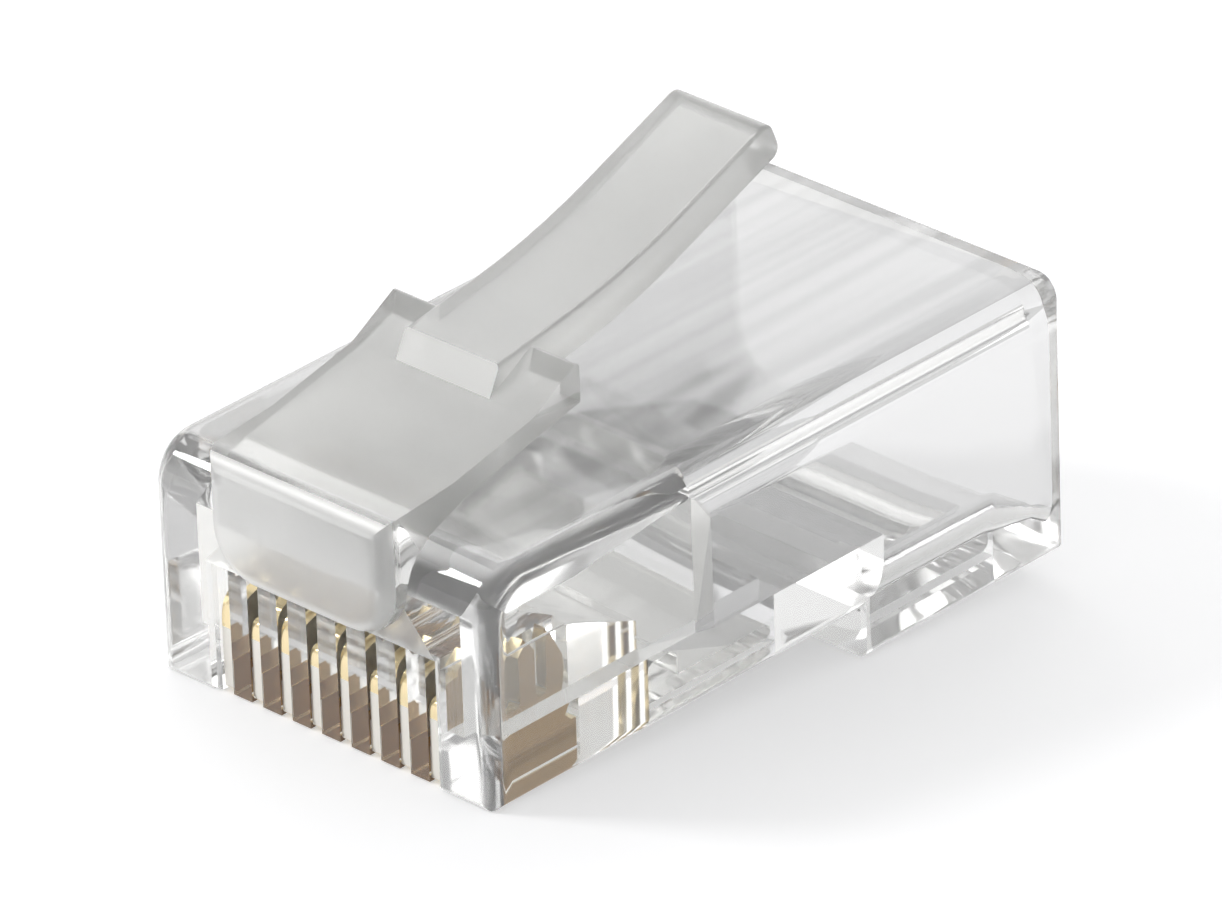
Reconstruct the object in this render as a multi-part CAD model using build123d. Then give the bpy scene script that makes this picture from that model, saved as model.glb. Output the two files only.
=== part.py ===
from build123d import *

import os
from math import cos, radians, sin, tan

# Modular plug for round twisted-pair cable: eight positions, eight contacts, before crimping.
# X runs across the contacts, +Y from the nose to the cable entry, +Z towards the latch.
# Profiles are drawn with Y = 0 on the nose face and Z = 0 under the rear foot, in millimetres.
# At the end all pieces move along Y, so that the origin is the middle of the plug's footprint.

# Body
body_width = 11.68
body_length = 20.66  # nose face to cable end
nose_height = 6.50
foot_drop = 1.35  # the foot reaches this far below the nose
foot_length = 7.30
body_edge_radius = 0.60  # down the nose's corners and back along its top
nose_top_radius = 1.30
nose_bottom_radius = 0.20
nose_bottom_edge_radius = 0.40
foot_edge_radius = 0.30

# Jacket cavity: the space for the cable's jacket, open at the rear
side_wall = 0.94
ceiling_wall = 1.05
foot_wall = 0.95
cavity_top_radius = 0.80
cavity_bottom_radius = 1.60
jacket_depth = 6.15  # how far the cable's jacket goes in
lead_in_depth = 1.60  # here the bottom corners open out towards the cable entry
lead_in_radius = 0.60
mouth_depth = 0.50
mouth_flare = 0.30

# Conductor space: it runs from the jacket cavity to the nose, past both sides of the comb
conductor_half_width = 4.50
conductor_floor = 1.60  # thickness of the nose's bottom under the conductors
nose_wall = 0.75  # thickness of the nose's front
widening_y = 7.80  # the space widens here to the jacket cavity's width
widening_length = 0.50
ceiling_rise_y = 3.60  # the ceiling rises from here to the end of the widening

# Contact comb: a block with a ramp behind it, and a wire channel and a blade slot for each contact
contact_count = 8
contact_pitch = 1.02
comb_side_margin = 0.18  # wall beside the outer slots
comb_front_recess = 0.20  # its front lies behind the nose face
comb_recess_margin = 0.10  # the recess reaches this far above the slots
ramp_start_y = 3.00
ramp_end_y = 8.30
channel_width = 0.92
channel_height = 1.73  # from a channel's floor to the ceiling
channel_round = 0.40  # the channels' bottom corners
channel_above_tines = 0.13  # the tines' tips stand this far into the channels
rib_height = 0.42
slot_clearance = 0.025
slot_end_clearance = 0.08

# Contacts, heights above the bottom edge of the blade
blade_thickness = 0.33
blade_setback = 0.31  # front edge behind the nose face
blade_length = 3.56  # along its foot
blade_foot_height = 0.79
blade_lift = 0.05  # bottom edge above the nose's underside
blade_waist_y = 3.50
blade_belly_y = 3.82
blade_belly_height = 1.90
blade_heel_chamfer = 0.20
blade_nose_radius = 0.25
shoulder_height = 2.80
shoulder_start = 1.85
shoulder_radius = 1.10
shoulder_step = 0.12  # height of the step between the rounds of every other shoulder
tine_count = 3
tine_first_y = 1.61
tine_pitch = 0.95
tine_width = 0.56
tine_root_height = 1.60
tine_tip_height = 3.30
tine_flank_height = 2.95
last_tine_flank_height = 2.45
last_tine_point = 0.10  # its point behind its front flank
crimp_travel = 0.65

# Latch, heights above the body's top face
latch_width = 6.20
root_depth = 0.80  # the root stands out of the nose face by this much
root_drop = 2.60  # and reaches this far down the nose face
root_corner_radius = 1.50
root_edge_radius = 0.60
root_top_height = 0.87
root_back_height = 1.09
gap_front_y = 0.80  # where the gap under the latch starts
gap_bend_y = 1.90
gap_bend_height = 0.45
hinge_y = 1.75
hinge_clearance = 0.05
hinge_lip = 0.12
plate_thickness = 0.62
plate_angle = 12.8
plate_end_y = 4.45
stop_y = 6.25
stop_ridge_height = 2.65
ramp_angle = 29.5
ridge_radius = 0.12
finger_width = 3.20
finger_thickness = 1.10
finger_step_y = 5.00
finger_step_height = 2.50
finger_step_slope = 0.40  # how far the step leans back
finger_low_angle = 9.1
finger_bend_y = 9.57
finger_high_angle = 21.5
finger_bend_radius = 20.0
finger_tip_y = 14.90
finger_tip_radius = 0.35
finger_edge_radius = 0.12

# Clamps that a crimping tool pushes into the plug
jacket_clamp_width = 5.80
jacket_clamp_length = 4.15
jacket_clamp_front_gap = 0.40  # behind the step where the jacket stops
jacket_clamp_front_height = 1.35
jacket_clamp_back_height = 0.65
jacket_clamp_recess = 0.20
jacket_clamp_ridges = 4
jacket_ridge_depth = 0.22
jacket_ridge_slope = 0.75  # share of a ridge's pitch that its slope takes
jacket_hinge_radius = 0.30
conductor_clamp_front = 6.38
conductor_clamp_length = 4.20
conductor_clamp_width = 7.90
conductor_clamp_recess = 0.12
conductor_plate_thickness = 0.40
conductor_bar_length = 1.05
conductor_bar_height = 1.10
conductor_bar_radius = 0.25
clamp_clearance = 0.08

# Heights and places that follow from the sizes above
nose_bottom = foot_drop
body_top = nose_bottom + nose_height
foot_front = body_length - foot_length
jacket_stop = body_length - jacket_depth
cavity_top = body_top - ceiling_wall
cavity_half_width = body_width / 2 - side_wall
blade_bottom = nose_bottom + blade_lift
channel_floor = blade_bottom + tine_tip_height - channel_above_tines
channel_top = channel_floor + channel_height
rib_top = channel_floor + rib_height
slot_top = blade_bottom + shoulder_height + crimp_travel + slot_end_clearance
slot_end = blade_setback + blade_length + slot_end_clearance
slot_width = blade_thickness + 2 * slot_clearance
comb_half_width = (contact_pitch * (contact_count - 1) + slot_width) / 2 + comb_side_margin
conductor_bottom = nose_bottom + conductor_floor
hinge_z = body_top + root_back_height - plate_thickness / 2
jacket_clamp_front = jacket_stop + jacket_clamp_front_gap
jacket_hinge_y = jacket_clamp_front + jacket_clamp_length
jacket_hinge_z = jacket_clamp_recess + jacket_hinge_radius
conductor_hinge_y = conductor_clamp_front + conductor_clamp_length
conductor_hinge_z = nose_bottom + conductor_clamp_recess + conductor_plate_thickness / 2
through = 1.0  # how far a cut runs past the face it opens

centre = Pos(0, (root_depth - body_length) / 2, 0)


def across(profile, width):
    """A Y-Z profile made into a solid of this width about X = 0."""
    return extrude(Plane.YZ * profile, width / 2, both=True)


def along(profile, start, end):
    """An X-Z profile made into a solid from start to end on Y."""
    return extrude(Plane.XZ.offset(-end) * profile, end - start)


def upward(profile, bottom, top):
    """An X-Y profile made into a solid from bottom to top."""
    return extrude(Plane.XY.offset(bottom) * profile, top - bottom)


def block(x0, x1, y0, y1, z0, z1):
    return Pos((x0 + x1) / 2, (y0 + y1) / 2, (z0 + z1) / 2) * Box(x1 - x0, y1 - y0, z1 - z0)


def outline(*points):
    return make_face(Polyline(*points, close=True))


def corner(face, x_end, y_end, radius):
    """Rounds one corner of a face: each end is 0 for the low side and -1 for the high side."""
    picked = face.vertices().group_by(Axis.Y)[y_end].sort_by(Axis.X)[x_end]
    return fillet(picked, radius)


# Body: a nose bar from end to end, with the deeper foot under its rear
def body_shell():
    nose = block(-body_width / 2, body_width / 2, 0, body_length, nose_bottom, body_top)
    nose_top_edge = nose.faces().sort_by(Axis.Y)[0].edges().sort_by(Axis.Z)[-1]
    nose = fillet(nose_top_edge, nose_top_radius)
    flanks = nose.faces().sort_by(Axis.X)[0].edges() + nose.faces().sort_by(Axis.X)[-1].edges()
    rounded = [e for e in flanks if e.center().Y < body_length and e.center().Z > nose_bottom]
    nose = fillet(rounded, body_edge_radius)

    side = Pos(body_length / 2, (nose_bottom + body_top) / 2) * Rectangle(body_length, nose_height)
    side = corner(side, 0, 0, nose_bottom_radius)
    front = Pos(0, (nose_bottom + body_top) / 2) * Rectangle(body_width, nose_height)
    front = fillet(front.vertices().group_by(Axis.Y)[0], nose_bottom_edge_radius)
    nose &= across(side, body_width)
    nose &= along(front, 0, body_length)

    foot_height = foot_drop + 2 * nose_bottom_edge_radius
    section = Pos(0, foot_height / 2) * Rectangle(body_width, foot_height)
    section = fillet(section.vertices().group_by(Axis.Y)[0], foot_edge_radius)
    return nose + along(section, foot_front, body_length)


# Latch root: it stands out of the nose face and carries the living hinge
def latch_root():
    lip_y = hinge_y - hinge_lip
    gap_slope = gap_bend_height / (gap_bend_y - gap_front_y)
    side = outline(
        (-root_depth, body_top - root_drop),
        (-root_depth, body_top + root_top_height),
        (lip_y, body_top + root_back_height),
        (lip_y, body_top + gap_slope * (lip_y - gap_front_y)),
        (gap_front_y, body_top),
        (nose_top_radius, body_top - nose_top_radius),
        (root_edge_radius, body_top - root_drop),
    )
    front_height = root_drop + root_back_height
    front = Pos(0, body_top - root_drop + front_height / 2) * Rectangle(latch_width, front_height)
    front = fillet(front.vertices().group_by(Axis.Y)[0], root_corner_radius)
    root = across(side, latch_width) & along(front, -root_depth, hinge_y)
    face_edges = root.faces().sort_by(Axis.Y)[0].edges()
    return fillet(face_edges, root_edge_radius)


# Jacket cavity with its opened bottom corners and its flared mouth
def cavity_section(bottom_radius, wider=0.0):
    """The cavity's X-Z section, each side moved out by the amount wider."""
    height = cavity_top - foot_wall + 2 * wider
    section = Pos(0, (cavity_top + foot_wall) / 2) * Rectangle(2 * (cavity_half_width + wider), height)
    section = fillet(section.vertices().group_by(Axis.Y)[-1], cavity_top_radius + wider)
    return fillet(section.vertices().group_by(Axis.Y)[0], bottom_radius)


def at_y(section, y):
    return Plane.XZ.offset(-y) * section


def jacket_cavity():
    inner = cavity_section(cavity_bottom_radius)
    opened = cavity_section(lead_in_radius)
    flared = cavity_section(lead_in_radius + mouth_flare, wider=mouth_flare)
    mouth_start = body_length - mouth_depth
    lead_in_start = mouth_start - lead_in_depth
    barrel = along(inner, jacket_stop, body_length)
    lead_in = loft([at_y(inner, lead_in_start), at_y(opened, mouth_start)])
    mouth = loft([at_y(opened, mouth_start), at_y(flared, body_length)])
    return barrel + lead_in + mouth


# Conductor space, with the comb's block and its ramp standing in it
def conductor_space():
    back = jacket_stop + cavity_bottom_radius
    widening_end = widening_y + widening_length
    side = outline(
        (nose_wall, conductor_bottom),
        (nose_wall, channel_top),
        (ceiling_rise_y, channel_top),
        (widening_end, cavity_top),
        (jacket_stop, cavity_top),
        (jacket_stop, cavity_top - cavity_top_radius),
        (back, cavity_top - cavity_top_radius),
        (back, conductor_bottom),
    )
    half = [
        (nose_wall, conductor_half_width),
        (widening_y, conductor_half_width),
        (widening_end, cavity_half_width),
        (back, cavity_half_width),
    ]
    plan = outline(*[(-x, y) for y, x in half], *[(x, y) for y, x in reversed(half)])
    rounds = along(cavity_section(lead_in_radius), nose_wall, back)
    space = across(side, body_width) & upward(plan, 0, body_top) & rounds
    comb = outline(
        (nose_wall, conductor_bottom),
        (nose_wall, rib_top),
        (ramp_start_y, rib_top),
        (ramp_end_y, conductor_bottom),
    )
    return space - across(comb, 2 * comb_half_width)


# Comb
def contact_places():
    first = -contact_pitch * (contact_count - 1) / 2
    return [first + contact_pitch * i for i in range(contact_count)]


def channel_and_slot(x):
    height = rib_top - channel_floor + channel_round
    section = Pos(0, channel_floor + height / 2) * Rectangle(channel_width, height)
    section = fillet(section.vertices().group_by(Axis.Y)[0], channel_round)
    channel = along(section, nose_wall, ramp_end_y)
    slot = block(-slot_width / 2, slot_width / 2, -root_depth, slot_end, nose_bottom - through, slot_top)
    return Pos(x, 0, 0) * (channel + slot)


def comb_recess():
    half = comb_half_width
    top = slot_top + comb_recess_margin
    return block(-half, half, -root_depth, comb_front_recess, nose_bottom - through, top)


# Windows under the two clamps
def clamp_windows():
    half = jacket_clamp_width / 2 + clamp_clearance
    jacket = block(
        -half,
        half,
        jacket_clamp_front - clamp_clearance,
        jacket_hinge_y + jacket_hinge_radius + clamp_clearance,
        -through,
        foot_wall + cavity_bottom_radius,
    )
    half = conductor_clamp_width / 2 + clamp_clearance
    conductor = block(
        -half,
        half,
        conductor_clamp_front - clamp_clearance,
        conductor_hinge_y + conductor_plate_thickness / 2 + clamp_clearance,
        nose_bottom - through,
        rib_top,
    )
    return [jacket, conductor]


def hinge_groove():
    radius = plate_thickness / 2 + hinge_clearance
    return across(Pos(hinge_y, hinge_z) * Circle(radius), latch_width + 2 * through)


def housing():
    solid = body_shell() + latch_root()
    comb = [comb_recess(), *[channel_and_slot(x) for x in contact_places()]]
    for cut in [jacket_cavity(), conductor_space(), *comb, *clamp_windows(), hinge_groove()]:
        solid -= cut
    return solid


# Latch: a wide plate with two stop shoulders, and a finger that rises from between them
def latch():
    radius = plate_thickness / 2
    rise = tan(radians(plate_angle))
    offset_y = radius * sin(radians(plate_angle))
    offset_z = radius * cos(radians(plate_angle))
    upper = (hinge_y - offset_y, hinge_z + offset_z)
    lower = (hinge_y + offset_y, hinge_z - offset_z)
    plate_end_z = upper[1] + rise * (plate_end_y - upper[0])
    stop_under_z = lower[1] + rise * (stop_y - lower[0])
    ridge_z = body_top + stop_ridge_height
    ramp_y = stop_y - (ridge_z - plate_end_z) / tan(radians(ramp_angle))
    plate = outline(upper, (ramp_y, plate_end_z), (stop_y, ridge_z), (stop_y, stop_under_z), lower)
    plate = fillet(plate.vertices().sort_by(Axis.Y)[-1], ridge_radius)
    shoulders = across(plate, latch_width)
    knuckle = across(Pos(hinge_y, hinge_z) * Circle(radius), latch_width)

    low = tan(radians(finger_low_angle))
    high = tan(radians(finger_high_angle))
    step_z = body_top + finger_step_height
    bend_z = step_z + low * (finger_bend_y - finger_step_y)
    tip_z = bend_z + high * (finger_tip_y - finger_bend_y)
    middle_angle = radians((finger_low_angle + finger_high_angle) / 2)
    under_bend_y = finger_bend_y + finger_thickness * sin(middle_angle)
    under_bend_z = bend_z - finger_thickness * cos(middle_angle)
    under_tip_y = finger_tip_y + finger_thickness * sin(radians(finger_high_angle))
    under_tip_z = tip_z - finger_thickness * cos(radians(finger_high_angle))
    finger = outline(
        (finger_step_y - finger_step_slope, plate_end_z - radius),
        (finger_step_y - finger_step_slope, plate_end_z),
        (finger_step_y, step_z),
        (finger_bend_y, bend_z),
        (finger_tip_y, tip_z),
        (under_tip_y, under_tip_z),
        (under_bend_y, under_bend_z),
        (stop_y, stop_under_z),
    )
    bends = [v for v in finger.vertices() if min(abs(v.X - finger_bend_y), abs(v.X - under_bend_y)) < 0.01]
    finger = fillet(bends, finger_bend_radius)
    finger = fillet(finger.vertices().sort_by(Axis.X)[-2:], finger_tip_radius)
    finger = across(finger, finger_width)
    flanks = finger.faces().sort_by(Axis.X)[0].edges() + finger.faces().sort_by(Axis.X)[-1].edges()
    finger = fillet([e for e in flanks if e.center().Y > finger_step_y], finger_edge_radius)
    return shoulders + knuckle + finger


# Contacts: stamped blades with three piercing tines; neighbours have unlike front shoulders
def shoulder_line(stepped, end_y):
    start = (blade_setback, shoulder_start)
    end = (end_y, shoulder_height)
    if not stepped:
        return [RadiusArc(start, end, shoulder_radius)]
    middle_y = (blade_setback + end_y) / 2
    middle_z = (shoulder_start + shoulder_height) / 2
    below = (middle_y, middle_z - shoulder_step / 2)
    above = (middle_y, middle_z + shoulder_step / 2)
    low_start = (blade_setback, shoulder_start - shoulder_step)
    return [
        RadiusArc(low_start, below, shoulder_radius / 2),
        Line(below, above),
        RadiusArc(above, end, shoulder_radius / 2),
    ]


def tine_line(start):
    """The top of the tines, from the shoulder's end to the last tine's rear flank."""
    edges = []
    at = start
    half = tine_width / 2
    gap_half = tine_pitch / 2 - half
    for i in range(tine_count):
        is_last = i == tine_count - 1
        middle = tine_first_y + tine_pitch * i
        point_y = middle - half + last_tine_point if is_last else middle
        rear_height = last_tine_flank_height if is_last else tine_flank_height
        front = (middle - half, tine_flank_height)
        point = (point_y, tine_tip_height)
        rear = (middle + half, rear_height)
        edges += [Line(at, front), Line(front, point), Line(point, rear)]
        at = rear
        if not is_last:
            gap_low = (at[0], tine_root_height + gap_half)
            gap_high = (at[0] + 2 * gap_half, tine_root_height + gap_half)
            gap_bottom = (at[0] + gap_half, tine_root_height)
            edges += [Line(at, gap_low), ThreePointArc(gap_low, gap_bottom, gap_high)]
            at = gap_high
    return edges, at


def blade_outline(stepped):
    front = (blade_setback, 0)
    foot_end_y = blade_setback + blade_length
    heel = (blade_waist_y + blade_heel_chamfer, blade_foot_height)
    waist = (blade_waist_y, blade_foot_height + blade_heel_chamfer)
    shoulder_end_y = tine_first_y - tine_width / 2
    shoulder = shoulder_line(stepped, shoulder_end_y)
    tines, rear_flank = tine_line((shoulder_end_y, shoulder_height))
    edges = [
        Line((foot_end_y, 0), front),
        Line(front, shoulder[0] @ 0),
        *shoulder,
        *tines,
        ThreePointArc(rear_flank, (blade_belly_y, blade_belly_height), waist),
        Line(waist, heel),
        Line(heel, (foot_end_y, blade_foot_height)),
        Line((foot_end_y, blade_foot_height), (foot_end_y, 0)),
    ]
    face = make_face(Curve() + edges)
    return corner(face, 0, 0, blade_nose_radius)


def contact(x, stepped):
    return Pos(x, 0, blade_bottom) * across(blade_outline(stepped), blade_thickness)


# Jacket clamp: a ridged flap in the foot, hinged at its rear edge
def jacket_clamp():
    front = jacket_clamp_front
    bottom = jacket_clamp_recess
    front_top = bottom + jacket_clamp_front_height
    back_top = bottom + jacket_clamp_back_height
    pitch = jacket_clamp_length / (jacket_clamp_ridges + 0.5)
    fall = (front_top - back_top) / jacket_clamp_length
    ridges = []
    for i in range(jacket_clamp_ridges):
        top_y = pitch * i
        low_y = pitch * (i + jacket_ridge_slope)
        ridges.append((front + top_y, front_top - fall * top_y))
        ridges.append((front + low_y, front_top - fall * low_y - jacket_ridge_depth))
    profile = outline((front, bottom), *ridges, (jacket_hinge_y, back_top), (jacket_hinge_y, bottom))
    flap = across(profile, jacket_clamp_width)
    knuckle = across(Pos(jacket_hinge_y, jacket_hinge_z) * Circle(jacket_hinge_radius), jacket_clamp_width)
    return flap + knuckle


# Conductor clamp: a bar on a thin plate in the nose, hinged at the plate's rear edge
def conductor_clamp():
    front = conductor_clamp_front
    bottom = nose_bottom + conductor_clamp_recess
    plate_top = bottom + conductor_plate_thickness
    bar_top = bottom + conductor_bar_height
    bar = Pos(front + conductor_bar_length / 2, (bottom + bar_top) / 2)
    bar *= Rectangle(conductor_bar_length, conductor_bar_height)
    bar = fillet(bar.vertices().group_by(Axis.Y)[-1], conductor_bar_radius)
    plate = outline(
        (front, bottom),
        (front, plate_top),
        (conductor_hinge_y, plate_top),
        (conductor_hinge_y, bottom),
    )
    knuckle = Pos(conductor_hinge_y, conductor_hinge_z) * Circle(conductor_plate_thickness / 2)
    return across(bar, conductor_clamp_width) + across(plate, conductor_clamp_width) + across(
        knuckle, conductor_clamp_width
    )


def save(shape, name):
    export_step(centre * shape, "parts/" + name + ".step")


os.makedirs("parts", exist_ok=True)
save(housing(), "housing")
save(latch(), "latch")
save(jacket_clamp(), "jacket_clamp")
save(conductor_clamp(), "conductor_clamp")
for number, x in enumerate(contact_places(), start=1):
    save(contact(x, stepped=number % 2 == 0), "contact_" + str(number))
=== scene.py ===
import math
import bpy
import bmesh
import numpy as np
from mathutils import Matrix, Vector


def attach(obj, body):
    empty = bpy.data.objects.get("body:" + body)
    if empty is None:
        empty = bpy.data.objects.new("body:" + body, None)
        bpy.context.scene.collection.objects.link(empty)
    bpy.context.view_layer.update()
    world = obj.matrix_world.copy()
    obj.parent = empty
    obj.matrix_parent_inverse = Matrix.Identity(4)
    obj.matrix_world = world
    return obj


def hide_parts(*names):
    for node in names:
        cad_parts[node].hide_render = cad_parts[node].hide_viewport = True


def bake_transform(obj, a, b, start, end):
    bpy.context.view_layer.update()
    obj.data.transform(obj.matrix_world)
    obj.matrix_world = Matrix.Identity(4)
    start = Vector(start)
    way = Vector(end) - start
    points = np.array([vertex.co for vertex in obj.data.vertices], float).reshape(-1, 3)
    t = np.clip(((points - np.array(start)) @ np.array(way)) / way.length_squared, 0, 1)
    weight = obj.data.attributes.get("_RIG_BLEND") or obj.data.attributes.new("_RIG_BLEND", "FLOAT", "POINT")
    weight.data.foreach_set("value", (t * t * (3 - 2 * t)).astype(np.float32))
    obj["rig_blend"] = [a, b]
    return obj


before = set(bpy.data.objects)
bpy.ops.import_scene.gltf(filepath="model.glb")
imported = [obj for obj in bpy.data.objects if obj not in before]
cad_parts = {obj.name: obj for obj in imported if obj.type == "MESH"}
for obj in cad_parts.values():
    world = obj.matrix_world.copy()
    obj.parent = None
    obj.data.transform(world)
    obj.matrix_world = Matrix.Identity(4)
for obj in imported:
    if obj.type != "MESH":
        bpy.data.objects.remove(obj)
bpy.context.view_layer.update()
mm = 0.001
noseFace = -9.93              # Y of the nose face in the frame, in millimetres

scene = bpy.context.scene
scene.view_settings.view_transform = "Standard"

# Clear walls, slots and ribs lie many deep in this part, and fewer bounces leave black patches.
scene.cycles.max_bounces = 32
scene.cycles.transmission_bounces = 32
scene.cycles.glossy_bounces = 32
scene.cycles.transparent_max_bounces = 16


def newMaterial(name):
    material = bpy.data.materials.new(name)
    material.use_nodes = True
    nodes = material.node_tree.nodes
    return nodes, material.node_tree.links, nodes["Principled BSDF"], material


def dress(obj, *materials):
    obj.data.materials.clear()
    for material in materials:
        obj.data.materials.append(material)


def meshObject(name, points, faces):
    mesh = bpy.data.meshes.new(name)
    mesh.from_pydata(points, [], faces)
    mesh.update()
    obj = bpy.data.objects.new(name, mesh)
    scene.collection.objects.link(obj)
    return obj


# One value of three numbers for every element, as an array with a row for each.
def readRows(elements, name):
    values = np.empty(len(elements) * 3, np.float32)
    elements.foreach_get(name, values)
    return values.reshape(-1, 3)


# A prism: a closed outline in Y-Z carried straight along X, with both ends closed.
def prism(name, outline, halfWidth):
    outline = np.asarray(outline, float)
    n = len(outline)
    left = np.column_stack([np.full(n, -halfWidth), outline])
    right = np.column_stack([np.full(n, halfWidth), outline])
    k = np.arange(n)
    sides = np.column_stack([k, (k + 1) % n, (k + 1) % n + n, k + n]).tolist()
    ends = [k[::-1].tolist(), (k + n).tolist()]
    obj = meshObject(name, np.vstack([left, right]).tolist(), sides + ends)
    fixNormals(obj)
    return obj


def fixNormals(obj):
    work = bmesh.new()
    work.from_mesh(obj.data)
    bmesh.ops.recalc_face_normals(work, faces=work.faces)
    work.to_mesh(obj.data)
    work.free()


# A CAD node's mesh, copied in millimetres and with its loose triangles joined.
def nodeCopy(name):
    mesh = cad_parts[name].data.copy()
    mesh.transform(Matrix.Scale(1 / mm, 4))
    work = bmesh.new()
    work.from_mesh(mesh)
    bmesh.ops.remove_doubles(work, verts=work.verts, dist=1e-4)
    bmesh.ops.dissolve_degenerate(work, edges=work.edges, dist=1e-5)
    work.to_mesh(mesh)
    work.free()
    obj = bpy.data.objects.new(name + "Copy", mesh)
    scene.collection.objects.link(obj)
    return obj


def joinSolid(base, other):
    union = base.modifiers.new("join", "BOOLEAN")
    union.operation = "UNION"
    union.solver = "EXACT"
    union.object = other
    graph = bpy.context.evaluated_depsgraph_get()
    joined = bpy.data.meshes.new_from_object(base.evaluated_get(graph))
    base.modifiers.clear()
    base.data = joined
    bpy.data.objects.remove(other)


# The clear moulding. Lengths are in millimetres in the frame. A line is its height, its slope, and the Y
# at which it has that height.
moulding = {
    "hingeY": -8.18,
    "hingeZ": 8.63,
    "latchHalfWidth": 3.10,
    "neckHalf": 0.55,         # half length of the neck between the root and the latch
    "neckTopBend": 0.0225,    # where its lines break, from the hinge
    "neckLowBend": 0.404,
    "neckRootBend": -0.15,
    "neckRootLift": 0.1,
    "rootTop": (8.72, 0.0905, -10.73),
    "rootLow": (7.85, 0.4091, -9.13),
    "plateTop": (8.932, 0.2272, -8.249),
    "plateLow": (8.3277, 0.2272, -8.1113),
    "bendHalf": 0.45,         # half length of the part that bends
    "underLatch": (7.85, 0.36, -9.13),
    "underLatchTop": 8.1,     # nothing below this line or the body's top bends
    "bodyTop": 7.87,
    "sharpAngle": 28.0,       # degrees: flatter edges are shaded as one surface
    "mergeGap": 2e-4,
    "shortEdge": 1e-4,
}


def lineAt(name, y):
    height, slope, start = moulding[name]
    return height + slope * (y - start)


# The living hinge: a short prism from the root to the plate, which continues the upper and lower lines of
# both to where they meet.
def hingeNeck():
    y = moulding["hingeY"]
    front, rear = y - moulding["neckHalf"], y + moulding["neckHalf"]
    topBend, lowBend = y + moulding["neckTopBend"], y + moulding["neckLowBend"]
    rootBend = y + moulding["neckRootBend"]
    outline = [
        (front, lineAt("rootTop", front)),
        (topBend, lineAt("rootTop", topBend)),
        (rear, lineAt("plateTop", rear)),
        (rear, lineAt("plateLow", rear)),
        (lowBend, lineAt("plateLow", lowBend)),
        (rootBend, lineAt("rootLow", rootBend)),
        (front, lineAt("rootLow", front) + moulding["neckRootLift"]),
    ]
    return prism("neck", outline, moulding["latchHalfWidth"])


# The housing, the neck and the latch as one solid, their union. An edge is smooth where its two faces meet
# at less than the sharp angle.
def buildMoulding():
    body = nodeCopy("housing")
    joinSolid(body, hingeNeck())
    joinSolid(body, nodeCopy("latch"))
    body.name = "clearMoulding"
    work = bmesh.new()
    work.from_mesh(body.data)
    bmesh.ops.remove_doubles(work, verts=work.verts, dist=moulding["mergeGap"])
    bmesh.ops.dissolve_degenerate(work, edges=work.edges, dist=moulding["shortEdge"])
    limit = math.radians(moulding["sharpAngle"])
    openEdges = sum(1 for edge in work.edges if len(edge.link_faces) != 2)
    for edge in work.edges:
        edge.smooth = len(edge.link_faces) == 2 and edge.calc_face_angle(0.0) < limit
    for face in work.faces:
        face.smooth = True
    work.to_mesh(body.data)
    work.free()
    body.data.transform(Matrix.Scale(mm, 4))
    print("moulding:", len(body.data.polygons), "faces,", openEdges, "open edges")
    return body


# The neck turns with the latch from a line before the hinge to one behind it, and the body below stays.
def bendMoulding(body):
    y, z = moulding["hingeY"] * mm, moulding["hingeZ"] * mm
    half = moulding["bendHalf"] * mm
    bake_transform(body, "body", "latch", start=(0, y - half, z), end=(0, y + half, z))
    points = readRows(body.data.vertices, "co") / mm
    weights = np.empty(len(points), np.float32)
    values = body.data.attributes["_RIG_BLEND"].data
    values.foreach_get("value", weights)
    underLatch = np.minimum(lineAt("underLatch", points[:, 1]), moulding["underLatchTop"])
    weights[(points[:, 2] < underLatch) | (points[:, 2] < moulding["bodyTop"])] = 0.0
    values.foreach_set("value", weights)


# The finishes of the plastic. What isn't clear in "through" is milky.
clear = {
    "ior": 1.585,
    "waveScale": 260.0,       # flow marks, per metre
    "waveDetail": 2.0,
    "waveStretch": (1.0, 0.25, 1.0),
    "waveStrength": 0.005,
    "waveDepth": 0.0004,
    "streakScale": 1500.0,    # drawn streaks along the top, per metre across it
    "streakDetail": 1.0,
    "streakStretch": (1.0, 0.03, 0.1),
    "streakDark": 0.35,       # noise up to here is a dark line, and from the next on a pale one
    "streakPale": 0.65,
    "paleShare": 0.5,         # how strong a pale line is beside a dark one
    "polished": {"colour": (0.94, 0.94, 0.925), "roughness": 0.03, "through": 0.93},
    # The cavity's darker tint on the next line is painted shade.
    "shadedCore": {"colour": (0.68, 0.68, 0.69), "roughness": 0.05, "through": 0.95},
    "satin": {"colour": (0.79, 0.79, 0.775), "roughness": 0.26, "through": 0.75},
    # The flat top's darker tint on the next line is painted shade.
    "top": {"colour": (0.57, 0.57, 0.565), "roughness": 0.07, "through": 0.73, "streak": 0.16},
    "frosted": {"colour": (0.95, 0.95, 0.93), "roughness": 0.35, "through": 0.25},
    "milky": {"colour": (0.90, 0.90, 0.88), "roughness": 0.30, "through": 0.55},
    "comb": {"colour": (0.96, 0.96, 0.95), "roughness": 0.04, "through": 1.0},
}
plasticFinishes = ["polished", "shadedCore", "satin", "top", "frosted", "milky", "comb"]


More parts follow.
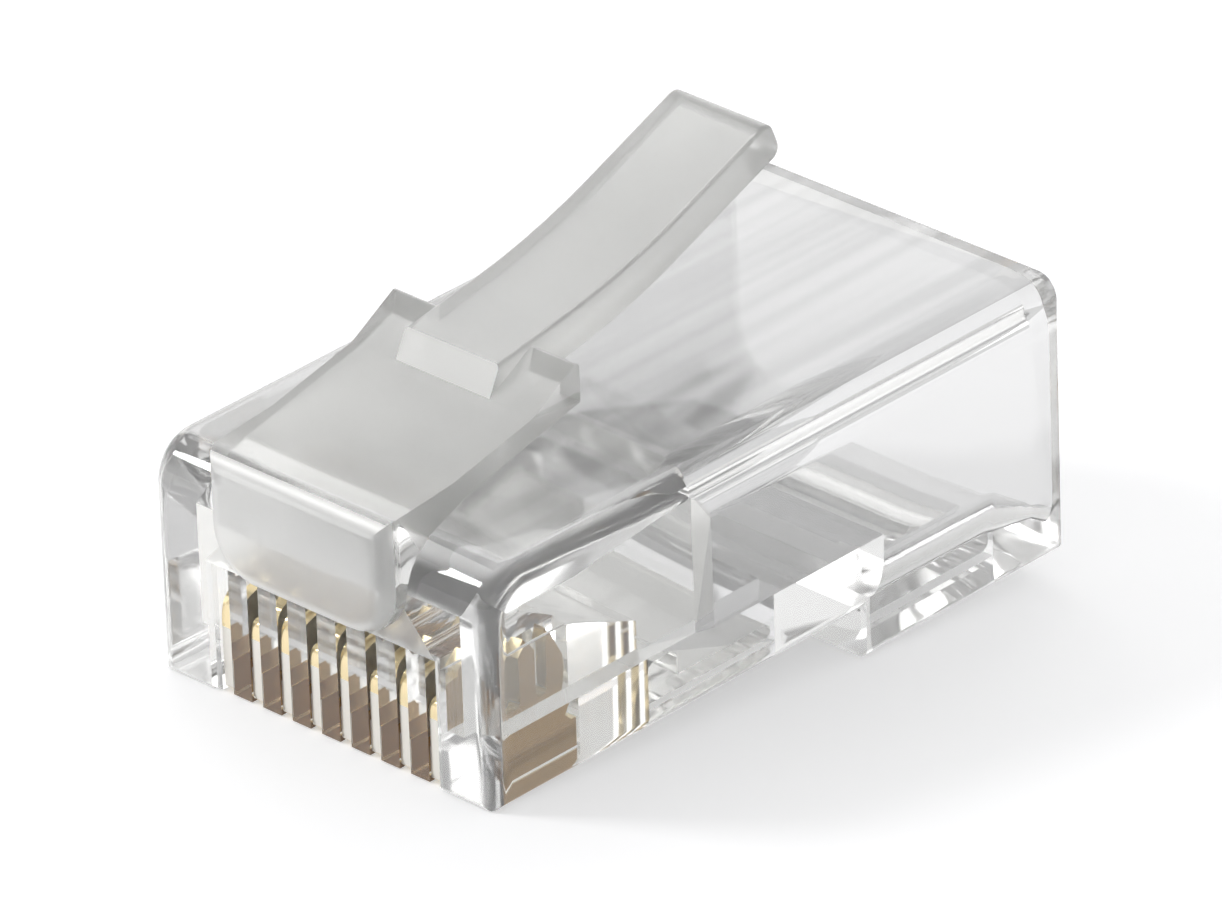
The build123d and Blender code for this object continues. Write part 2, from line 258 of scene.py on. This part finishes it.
def clearMaterial(name, finish):
    nodes, links, shader, material = newMaterial(name)
    shader.inputs["Base Color"].default_value = (*finish["colour"], 1)
    shader.inputs["Roughness"].default_value = finish["roughness"]
    shader.inputs["IOR"].default_value = clear["ior"]
    shader.inputs["Transmission Weight"].default_value = finish["through"]
    place = nodes.new("ShaderNodeTexCoord")
    stretch = nodes.new("ShaderNodeMapping")
    stretch.inputs["Scale"].default_value = clear["waveStretch"]
    noise = nodes.new("ShaderNodeTexNoise")
    noise.inputs["Scale"].default_value = clear["waveScale"]
    noise.inputs["Detail"].default_value = clear["waveDetail"]
    bump = nodes.new("ShaderNodeBump")
    bump.inputs["Strength"].default_value = clear["waveStrength"]
    bump.inputs["Distance"].default_value = clear["waveDepth"]
    links.new(place.outputs["Object"], stretch.inputs["Vector"])
    links.new(stretch.outputs["Vector"], noise.inputs["Vector"])
    links.new(noise.outputs["Fac"], bump.inputs["Height"])
    links.new(bump.outputs["Normal"], shader.inputs["Normal"])
    if "streak" in finish:
        addStreaks(nodes, links, place, shader, finish)
    return material


# Noise stretched along Y, as darker and lighter lines in the colour.
def addStreaks(nodes, links, place, shader, finish):
    stretch = nodes.new("ShaderNodeMapping")
    stretch.inputs["Scale"].default_value = clear["streakStretch"]
    noise = nodes.new("ShaderNodeTexNoise")
    noise.inputs["Scale"].default_value = clear["streakScale"]
    noise.inputs["Detail"].default_value = clear["streakDetail"]
    tint = nodes.new("ShaderNodeValToRGB")
    darker = 1 - finish["streak"]
    paler = 1 + clear["paleShare"] * finish["streak"]
    darkLine, paleLine = tint.color_ramp.elements
    darkLine.position, paleLine.position = clear["streakDark"], clear["streakPale"]
    darkLine.color = (*[v * darker for v in finish["colour"]], 1)
    paleLine.color = (*[v * paler for v in finish["colour"]], 1)
    links.new(place.outputs["Object"], stretch.inputs["Vector"])
    links.new(stretch.outputs["Vector"], noise.inputs["Vector"])
    links.new(noise.outputs["Fac"], tint.inputs["Fac"])
    links.new(tint.outputs["Color"], shader.inputs["Base Color"])


# Where each finish lies, in millimetres: X from the middle, Y behind the nose face, Z above the foot.
regions = {
    "insideHalfWidth": 5.3,
    "insideFront": 0.22,
    "insideRear": 20.63,
    "insideTop": 6.9,
    "noseFloor": 1.40,        # the underside, up to the foot and along it
    "footFloor": 0.05,
    "footStart": 13.4,
    "rootLow": (1.6, 6.0),    # ahead of this Y and above this Z lies the latch's root
    "rootHigh": (2.4, 7.0),
    "combEnd": 8.0,
    "topLow": 6.2,
    "latchLow": 7.93,
    "rootFaceRear": 0.9,
    "rootFaceLow": 5.0,
    "rootFaceHigh": 8.3,
    "rootHalfWidth": 3.3,
    "fingerHalfWidth": 2.0,
    "shoulderFront": 5.0,
    "facesUp": 0.93,          # how much of a face's normal has to point that way
    "facesSideways": 0.7,
    "stepFacesFront": 0.55,
    "rootFacesFront": 0.3,
}


# The cavity and the comb are as a mould's core leaves them, and the outside is polished; the cavity behind
# the comb has a darker tint, which is painted shade. The flat top is duller, with a darker tint that is
# painted shade, the latch satin with polished shoulder sides, its steps frosted and the front of its root
# milky.
def chooseFinishes(body):
    x, y, z = (readRows(body.data.polygons, "center") / mm).T
    y = y - noseFace
    sideways, backwards, upwards = readRows(body.data.polygons, "normal").T
    r = regions
    slot = {name: index for index, name in enumerate(plasticFinishes)}
    floor = np.where(y < r["footStart"], r["noseFloor"], r["footFloor"])
    inside = (np.abs(x) < r["insideHalfWidth"]) & (y > r["insideFront"]) & (y < r["insideRear"])
    inside &= (z < r["insideTop"]) & (z > floor)
    for before, above in (r["rootLow"], r["rootHigh"]):
        inside &= ~((y < before) & (z > above))
    # Faces turned up get the darker tint of the flat top, painted shade.
    flatTop = (upwards > r["facesUp"]) & (z > r["topLow"])
    onLatch = z > r["latchLow"]
    step = backwards < -r["stepFacesFront"]
    shoulderSide = onLatch & (np.abs(sideways) > r["facesSideways"])
    shoulderSide &= (np.abs(x) > r["fingerHalfWidth"]) & (y > r["shoulderFront"])
    rootFace = (backwards < -r["rootFacesFront"]) & (y < r["rootFaceRear"])
    rootFace &= (np.abs(x) < r["rootHalfWidth"]) & (z > r["rootFaceLow"]) & (z < r["rootFaceHigh"])
    # The cavity and the flat top get darker tints here, painted shade.
    finish = np.where(inside, slot["shadedCore"], np.where(flatTop, slot["top"], slot["polished"]))
    finish = np.where(onLatch, np.where(step, slot["frosted"], slot["satin"]), finish)
    finish = np.where(shoulderSide, slot["polished"], finish)
    finish = np.where(rootFace, slot["milky"], finish)
    finish = np.where((finish == slot["shadedCore"]) & (y < r["combEnd"]), slot["comb"], finish)
    body.data.polygons.foreach_set("material_index", finish.astype(np.int32))


mouldingPiece = buildMoulding()
plastics = [clearMaterial(name + "Polycarbonate", clear[name]) for name in plasticFinishes]
dress(mouldingPiece, *plastics)
chooseFinishes(mouldingPiece)
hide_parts("housing", "latch")
bendMoulding(mouldingPiece)
for name in ("jacket_clamp", "conductor_clamp"):
    dress(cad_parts[name], plastics[0])
print("clear moulding built")


# The contacts. Each finish has its darker colour, its paler colour and its roughness.
gold = {
    "side": ((0.56, 0.33, 0.11), (0.68, 0.44, 0.17), 0.32),
    # The edges' brighter gold on the next line is a painted highlight.
    "edge": ((0.92, 0.74, 0.42), (0.97, 0.84, 0.56), 0.16),
    # The pale, near white sides above the ribs' tops on the next line are painted light, in place of their
    # shade.
    "upper": ((0.92, 0.90, 0.85), (0.95, 0.93, 0.89), 0.32),    # sides between the ribs' tops
    # The pale, near white lower front edge on the next line is a painted reflection of the white floor.
    "paintedReflection": ((0.80, 0.77, 0.71), (0.90, 0.88, 0.83), 0.32),     # lower front edge
    # The darker gold of the outermost blades' outer sides on the next line is painted shade.
    "flank": ((0.37, 0.21, 0.06), (0.46, 0.29, 0.10), 0.32),    # outer sides of the outermost two
    "metal": 0.75,
    "smoother": 0.05,         # how far the grain takes the roughness down and up
    "rougher": 0.06,
    "grainScale": 900.0,
    "grainStretch": (1.0, 4.0, 0.6),
    "paintedReflectionTop": 3.15,          # millimetres above the foot, as for the next two
    "gripTop": 2.30,          # below it the ribs grip the blade
    "gripFade": 0.06,
    "gripHalfWidth": 0.20,
    "outermost": 3.0,         # a blade further from the middle than this is an outermost one
    "frontForward": 0.05,     # the front edge stands this much nearer the ribs' front
    "shoulderLength": 1.1,    # and the shoulder behind it is this much squarer
    "shoulderSquare": 0.25,
    "facesSideways": 0.5,     # how much of a face's normal has to point that way
    "facesFront": 0.9,
}
goldFinishes = ["side", "edge", "upper", "paintedReflection", "flank"]


def goldMaterial(finish):
    colour, paleColour, roughness = gold[finish]
    nodes, links, shader, material = newMaterial("gold" + finish.capitalize())
    place = nodes.new("ShaderNodeTexCoord")
    stretch = nodes.new("ShaderNodeMapping")
    stretch.inputs["Scale"].default_value = gold["grainStretch"]
    noise = nodes.new("ShaderNodeTexNoise")
    noise.inputs["Scale"].default_value = gold["grainScale"]
    tint = nodes.new("ShaderNodeValToRGB")
    tint.color_ramp.elements[0].color = (*colour, 1)
    tint.color_ramp.elements[1].color = (*paleColour, 1)
    rough = nodes.new("ShaderNodeMapRange")
    rough.inputs["To Min"].default_value = roughness - gold["smoother"]
    rough.inputs["To Max"].default_value = roughness + gold["rougher"]
    shader.inputs["Metallic"].default_value = gold["metal"]
    links.new(place.outputs["Object"], stretch.inputs["Vector"])
    links.new(stretch.outputs["Vector"], noise.inputs["Vector"])
    links.new(noise.outputs["Fac"], tint.inputs["Fac"])
    links.new(noise.outputs["Fac"], rough.inputs["Value"])
    links.new(tint.outputs["Color"], shader.inputs["Base Color"])
    links.new(rough.outputs["Result"], shader.inputs["Roughness"])
    return material


# Adds edges where level planes at these heights cut the blade, and leaves its shape as it is.
def cutAcross(blade, heights):
    work = bmesh.new()
    work.from_mesh(blade.data)
    for height in heights:
        everything = work.verts[:] + work.edges[:] + work.faces[:]
        level, upright = (0, 0, height), (0, 0, 1)
        bmesh.ops.bisect_plane(work, geom=everything, dist=1e-5, plane_co=level, plane_no=upright)
    work.to_mesh(blade.data)
    work.free()


# A blade as the CAD has it, except that X is stretched below the grip line until the blade fills its slot,
# where the ribs press on it, and that the front is drawn forward by a parabola over the shoulder's length.
# The outermost two keep their distance from the body's side walls.
def buildContact(number):
    name = f"contact_{number}"
    blade = nodeCopy(name)
    blade.name = f"blade{number}"
    top, fade = gold["gripTop"], gold["gripFade"]
    cutAcross(blade, (top, top + fade, gold["paintedReflectionTop"]))
    points = readRows(blade.data.vertices, "co")
    middle = 0.5 * (points[:, 0].min() + points[:, 0].max())
    half = 0.5 * (points[:, 0].max() - points[:, 0].min())
    outermost = abs(middle) > gold["outermost"]
    share = np.clip((top + fade - points[:, 2]) / fade, 0, 1)
    outer = (points[:, 0] - middle) * middle > 0
    share[outer & outermost] = 0
    width = half + (gold["gripHalfWidth"] - half) * share
    points[:, 0] = middle + (points[:, 0] - middle) * width / half
    front = np.clip((points[:, 1] - points[:, 1].min()) / gold["shoulderLength"], 0, 1)
    points[:, 1] -= gold["frontForward"] * (1 - front) + gold["shoulderSquare"] * 4 * front * (1 - front)
    blade.data.vertices.foreach_set("co", (points * mm).ravel())
    blade.data.update()
    dress(blade, *goldPlates)
    chooseGold(blade, middle, outermost)
    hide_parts(name)
    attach(blade, name)


# Finishes of a blade: its edge, in a brighter gold that is a painted highlight; the lower part of its front,
# pale and near white as a painted reflection; its sides below the grip line; its sides above it, pale as
# painted light in place of their shade; and the flank that an outermost blade turns to the wall, darker as
# painted shade.
def chooseGold(blade, middle, outermost):
    sideways, backwards, _ = readRows(blade.data.polygons, "normal").T
    height = readRows(blade.data.polygons, "center")[:, 2] / mm
    slot = {name: index for index, name in enumerate(goldFinishes)}
    # The edges get the brighter gold, a painted highlight.
    edge = np.abs(sideways) < gold["facesSideways"]
    inner = (sideways * middle < 0) | (not outermost)
    # Sides above the grip line are painted pale, painted light in place of their shade.
    upper = (height > gold["gripTop"] + 0.5 * gold["gripFade"]) & inner
    # The lower front edge gets the pale colour, a painted reflection of the white floor.
    paintedReflection = edge & (backwards < -gold["facesFront"]) & (height < gold["paintedReflectionTop"])
    # The outer sides of the outermost blades get the darker gold, painted shade.
    sides = np.where(upper, slot["upper"], np.where(inner, slot["side"], slot["flank"]))
    finish = np.where(edge, slot["edge"], sides)
    finish = np.where(paintedReflection, slot["paintedReflection"], finish)
    blade.data.polygons.foreach_set("material_index", finish.astype(np.int32))


goldPlates = [goldMaterial(name) for name in goldFinishes]
for number in range(1, 9):
    buildContact(number)
print("contacts built")


# The floor, the light and the camera. Lengths are in metres.
studio = {
    "floorColour": (0.80, 0.80, 0.81),
    "floorRoughness": 0.9,
    "floorHalf": 3.0,
    "floorSeen": 0.40,        # white added for the eye
    "floorGlow": 0.45,        # and for reflections and through the plastic
    "worldLight": 0.60,
    "worldSeen": 1.0,
    "worldGlow": 0.85,
    "keyPower": 0.85,
    "keyPlace": (-0.34, 0.345, 0.26),
    "keySize": 0.50,
    "fillPower": 0.85,
    "fillPlace": (-0.31, -0.25, 0.31),
    "fillSize": 0.12,
    "tiltDegrees": 5.77,      # the plug leans on its nose and on the front of its foot
    "footEdge": 13.36,        # millimetres behind the nose face
    "floorGap": 0.00002,
}


# One level for the light that falls, one for reflections and refractions, and one for the camera.
def pathLevels(nodes, links, falling, glow, seen):
    path = nodes.new("ShaderNodeLightPath")
    bent = nodes.new("ShaderNodeMath")
    bent.operation = "MAXIMUM"
    inner = nodes.new("ShaderNodeMapRange")
    inner.inputs["To Min"].default_value = falling
    inner.inputs["To Max"].default_value = glow
    outer = nodes.new("ShaderNodeMapRange")
    outer.inputs["To Max"].default_value = seen
    links.new(path.outputs["Is Glossy Ray"], bent.inputs[0])
    links.new(path.outputs["Is Transmission Ray"], bent.inputs[1])
    links.new(bent.outputs[0], inner.inputs["Value"])
    links.new(inner.outputs["Result"], outer.inputs["To Min"])
    links.new(path.outputs["Is Camera Ray"], outer.inputs["Value"])
    return outer.outputs["Result"]


# A flat square, turned about X by the plug's lean and laid under the front edge of its foot.
def buildFloor():
    half = studio["floorHalf"]
    corners = [(-half, -half, 0), (half, -half, 0), (half, half, 0), (-half, half, 0)]
    floor = meshObject("floor", corners, [(0, 1, 2, 3)])
    tilt = math.radians(studio["tiltDegrees"])
    touch = Vector((0, (studio["footEdge"] + noseFace) * mm, -studio["floorGap"]))
    floor.data.transform(Matrix.Translation(touch) @ Matrix.Rotation(-tilt, 4, "X"))
    nodes, links, shader, material = newMaterial("floorWhite")
    shader.inputs["Base Color"].default_value = (*studio["floorColour"], 1)
    shader.inputs["Roughness"].default_value = studio["floorRoughness"]
    shader.inputs["Specular IOR Level"].default_value = 0.0
    shader.inputs["Emission Color"].default_value = (1, 1, 1, 1)
    level = pathLevels(nodes, links, 0.0, studio["floorGlow"], studio["floorSeen"])
    links.new(level, shader.inputs["Emission Strength"])
    dress(floor, material)


def buildWorld():
    world = bpy.data.worlds.new("studio")
    scene.world = world
    world.use_nodes = True
    nodes, links = world.node_tree.nodes, world.node_tree.links
    background = nodes["Background"]
    background.inputs["Color"].default_value = (1, 1, 1, 1)
    level = pathLevels(nodes, links, studio["worldLight"], studio["worldGlow"], studio["worldSeen"])
    links.new(level, background.inputs["Strength"])


def buildLight(name):
    place = studio[name + "Place"]
    lamp = bpy.data.lights.new(name, "AREA")
    lamp.shape = "SQUARE"
    lamp.size = studio[name + "Size"]
    lamp.energy = studio[name + "Power"]
    obj = bpy.data.objects.new(name, lamp)
    obj.location = place
    obj.rotation_euler = (-Vector(place)).to_track_quat("-Z", "Y").to_euler()
    scene.collection.objects.link(obj)


view = {
    "place": (0.2069205, -0.2110939, 0.1658517),
    "turnDegrees": (61.44636, 1.86600, 43.34689),
    "lens": 396.98,
    "sensor": 36.0,
    "nearest": 0.01,
    "furthest": 20,
}


def buildCamera():
    camera = bpy.data.cameras.new("camera")
    camera.sensor_width = view["sensor"]
    camera.lens = view["lens"]
    camera.clip_start = view["nearest"]
    camera.clip_end = view["furthest"]
    obj = bpy.data.objects.new("camera", camera)
    obj.location = view["place"]
    obj.rotation_euler = [math.radians(v) for v in view["turnDegrees"]]
    scene.collection.objects.link(obj)
    scene.camera = obj


buildFloor()
buildWorld()
buildLight("key")
buildLight("fill")
buildCamera()
print("studio built")
